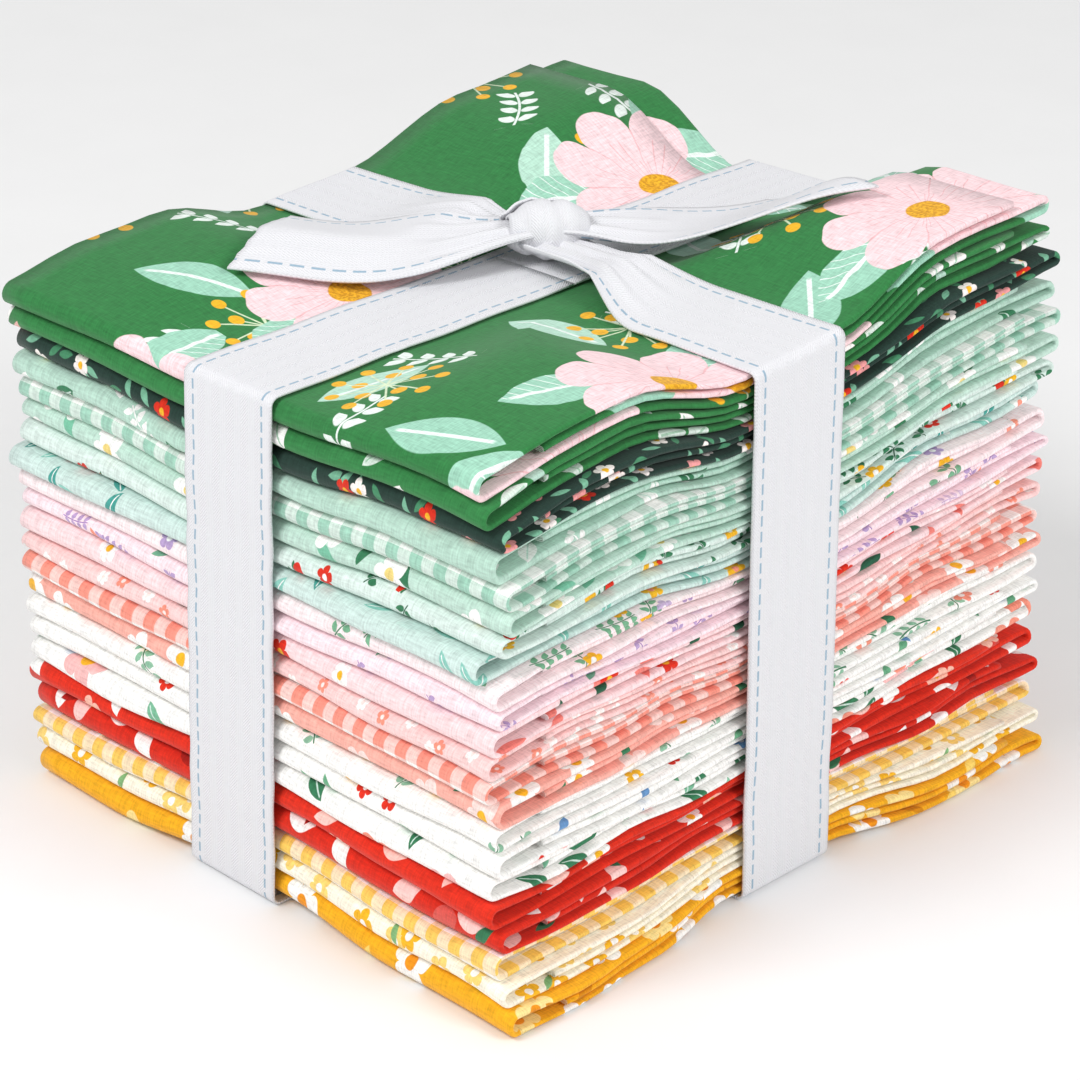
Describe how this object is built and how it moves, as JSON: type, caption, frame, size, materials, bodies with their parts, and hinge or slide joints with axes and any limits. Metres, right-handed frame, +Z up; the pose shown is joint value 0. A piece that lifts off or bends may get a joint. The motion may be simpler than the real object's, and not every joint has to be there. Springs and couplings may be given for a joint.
{
  "type": "fat quarter bundle",
  "caption": "Stack of folded quilting cottons tied crosswise with a flat ribbon, knotted on top with two free ends, lying on its flat underside.",
  "frame": {"origin": "on the ribbon's flat underside, under the middle of the stack", "axes": "+Z up; the rounded folds face -Y; the folded strip edges face +X"},
  "size_m": [0.1485, 0.1658, 0.1314],
  "materials": {
    "cloth_01_green_floral": "printed plain-weave cotton, matte",
    "cloth_02_green_petal": "printed plain-weave cotton, matte",
    "cloth_03_forest_ditsy": "printed plain-weave cotton, matte",
    "cloth_04_mint_leaf": "printed plain-weave cotton, matte",
    "cloth_05_mint_gingham": "printed plain-weave cotton, matte",
    "cloth_06_mint_blossom": "printed plain-weave cotton, matte",
    "cloth_07_pale_mint_sprig": "printed plain-weave cotton, matte",
    "cloth_08_aqua_leaf": "printed plain-weave cotton, matte",
    "cloth_09_blush_leaf": "printed plain-weave cotton, matte",
    "cloth_10_blush_sprig": "printed plain-weave cotton, matte",
    "cloth_11_pink_leaf": "printed plain-weave cotton, matte",
    "cloth_12_pink_dot": "printed plain-weave cotton, matte",
    "cloth_13_coral_gingham": "printed plain-weave cotton, matte",
    "cloth_14_coral_blossom": "printed plain-weave cotton, matte",
    "cloth_15_white_sprig": "printed plain-weave cotton, matte",
    "cloth_16_white_ditsy": "printed plain-weave cotton, matte",
    "cloth_17_white_floral": "printed plain-weave cotton, matte",
    "cloth_18_red_blossom": "printed plain-weave cotton, matte",
    "cloth_19_red_petal": "printed plain-weave cotton, matte",
    "cloth_20_yellow_gingham": "printed plain-weave cotton, matte",
    "cloth_21_yellow_ditsy": "printed plain-weave cotton, matte",
    "cloth_22_yellow_floral": "printed plain-weave cotton, matte",
    "ribbon": "white woven twill tape, matte"
  },
  "bodies": {
    "root": {"cloth_01_green_floral": "cloth_01_green_floral", "cloth_02_green_petal": "cloth_02_green_petal", "cloth_03_forest_ditsy": "cloth_03_forest_ditsy", "cloth_04_mint_leaf": "cloth_04_mint_leaf", "cloth_05_mint_gingham": "cloth_05_mint_gingham", "cloth_06_mint_blossom": "cloth_06_mint_blossom", "cloth_07_pale_mint_sprig": "cloth_07_pale_mint_sprig", "cloth_08_aqua_leaf": "cloth_08_aqua_leaf", "cloth_09_blush_leaf": "cloth_09_blush_leaf", "cloth_10_blush_sprig": "cloth_10_blush_sprig", "cloth_11_pink_leaf": "cloth_11_pink_leaf", "cloth_12_pink_dot": "cloth_12_pink_dot", "cloth_13_coral_gingham": "cloth_13_coral_gingham", "cloth_14_coral_blossom": "cloth_14_coral_blossom", "cloth_15_white_sprig": "cloth_15_white_sprig", "cloth_16_white_ditsy": "cloth_16_white_ditsy", "cloth_17_white_floral": "cloth_17_white_floral", "cloth_18_red_blossom": "cloth_18_red_blossom", "cloth_19_red_petal": "cloth_19_red_petal", "cloth_20_yellow_gingham": "cloth_20_yellow_gingham", "cloth_21_yellow_ditsy": "cloth_21_yellow_ditsy", "cloth_22_yellow_floral": "cloth_22_yellow_floral", "ribbon": "ribbon"}
  },
  "joints": []
}
